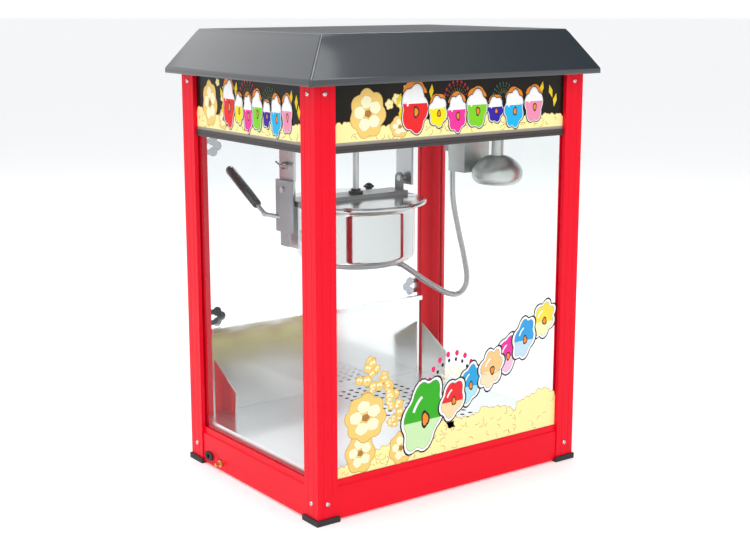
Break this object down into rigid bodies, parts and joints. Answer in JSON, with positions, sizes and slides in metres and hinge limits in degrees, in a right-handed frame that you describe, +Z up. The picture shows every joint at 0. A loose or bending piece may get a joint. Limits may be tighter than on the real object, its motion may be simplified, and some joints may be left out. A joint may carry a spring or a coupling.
{
  "type": "popcorn maker",
  "caption": "Counter-top popcorn machine: glazed cabinet on corner posts with a hipped roof, tilting kettle, stirrer, warming lamp, rear doors and crumb drawer.",
  "frame": {"origin": "on the counter, under the middle of the cabinet and of its roof", "axes": "+Z up; -Y is the customer's side with the large printed pane, +Y the operator's side with the doors; +X is to the right when looking along +Y"},
  "size_m": [0.56, 0.426, 0.72],
  "materials": {
    "red_enamel": "satin",
    "stainless": "brushed",
    "polished_steel": "polished",
    "grey_metal": "satin",
    "clear_glass": "clear, with a printed front pane",
    "clear_acrylic": "clear",
    "printed_panel": "gloss, printed",
    "panel_grey": "brushed",
    "trim_black": "satin",
    "roof_paint": "semi-gloss",
    "cast_alloy": "cast",
    "bulb_glass": "frosted",
    "black_rubber": "matt",
    "black_plastic": "gloss",
    "brass": "satin"
  },
  "bodies": {
    "cabinet": {"post_front_left": "red_enamel", "post_front_right": "red_enamel", "post_rear_left": "red_enamel", "post_rear_right": "red_enamel", "foot_caps": "black_rubber", "base_rail_front": "red_enamel", "base_rail_left": "red_enamel", "base_rail_right": "red_enamel", "base_rail_rear": "red_enamel", "base_plate": "stainless", "floor_deck": "stainless", "back_guard": "polished_steel", "guard_wings": "polished_steel", "glass_front": "clear_glass", "glass_left": "clear_glass", "glass_right": "clear_glass", "header_front": "printed_panel", "header_sides": "printed_panel", "control_panel": "panel_grey", "header_trim": "trim_black", "ceiling_plate": "stainless", "roof_soffit": "roof_paint", "roof_shell": "roof_paint", "stir_motor": "cast_alloy", "gearbox": "cast_alloy", "hanger_left": "stainless", "hanger_right": "stainless", "clamp_screw": "polished_steel", "conduit_socket": "grey_metal", "lamp_housing": "grey_metal", "lamp_shade": "grey_metal", "lamp_bulb": "bulb_glass", "post_hinges": "polished_steel", "cabinet_screws": "polished_steel", "cord_grommet": "black_rubber", "earth_terminal": "brass"},
    "kettle": {"kettle_pot": "polished_steel", "heater_base": "grey_metal", "kettle_bridge": "stainless", "kettle_strap": "stainless", "lid_front": "polished_steel", "shaft_bush": "trim_black", "kettle_trunnions": "stainless", "lever_bracket": "grey_metal", "lever_rod": "polished_steel", "lever_grip": "black_plastic", "terminal_box": "grey_metal", "conduit": "grey_metal"},
    "rear_lid": {"lid_rear": "polished_steel", "lid_knob": "black_plastic"},
    "stirrer": {"stirrer": "grey_metal"},
    "drive": {"drive_coupling": "cast_alloy"},
    "door_left": {"door_left": "clear_acrylic", "door_fittings_left": "polished_steel"},
    "door_right": {"door_right": "clear_acrylic", "door_fittings_right": "polished_steel"},
    "drawer": {"crumb_drawer": "stainless"},
    "rocker_stir": {"switch_stir": "black_plastic"},
    "rocker_heat": {"switch_heat": "black_plastic"},
    "rocker_lamp": {"switch_lamp": "black_plastic"}
  },
  "joints": [
    {"name": "door_left_swing", "type": "hinge", "parent": "cabinet", "child": "door_left", "pos_m": [-0.224, 0.1955, 0.388], "axis": [0, 0, 1], "range_deg": [0, 110]},
    {"name": "door_right_swing", "type": "hinge", "parent": "cabinet", "child": "door_right", "pos_m": [0.224, 0.1955, 0.388], "axis": [0, 0, -1], "range_deg": [0, 110]},
    {"name": "kettle_tilt", "type": "hinge", "parent": "cabinet", "child": "kettle", "pos_m": [-0.033, 0.028, 0.472], "axis": [-1, 0, 0], "range_deg": [0, 90], "deforming": ["conduit"]},
    {"name": "rear_lid_lift", "type": "hinge", "parent": "kettle", "child": "rear_lid", "pos_m": [-0.033, 0.053, 0.45], "axis": [1, 0, 0], "range_deg": [0, 90]},
    {"name": "stirrer_spin", "type": "hinge", "parent": "kettle", "child": "stirrer", "pos_m": [-0.033, 0.028, 0.45], "axis": [0, 0, 1], "continuous": true},
    {"name": "drive_spin", "type": "hinge", "parent": "cabinet", "child": "drive", "pos_m": [-0.033, 0.028, 0.59], "axis": [0, 0, 1], "continuous": true},
    {"name": "drawer_slide", "type": "slide", "parent": "cabinet", "child": "drawer", "axis": [0, 1, 0], "range_m": [0, 0.2]},
    {"name": "rocker_stir_press", "type": "hinge", "parent": "cabinet", "child": "rocker_stir", "pos_m": [-0.06, 0.179, 0.606], "axis": [1, 0, 0], "range_deg": [0, 12]},
    {"name": "rocker_heat_press", "type": "hinge", "parent": "cabinet", "child": "rocker_heat", "pos_m": [0, 0.179, 0.606], "axis": [1, 0, 0], "range_deg": [0, 12]},
    {"name": "rocker_lamp_press", "type": "hinge", "parent": "cabinet", "child": "rocker_lamp", "pos_m": [0.06, 0.179, 0.606], "axis": [1, 0, 0], "range_deg": [0, 12]}
  ],
  "couplings": [
    {"joint": "drive_spin", "follows": "stirrer_spin", "ratio": 1}
  ]
}
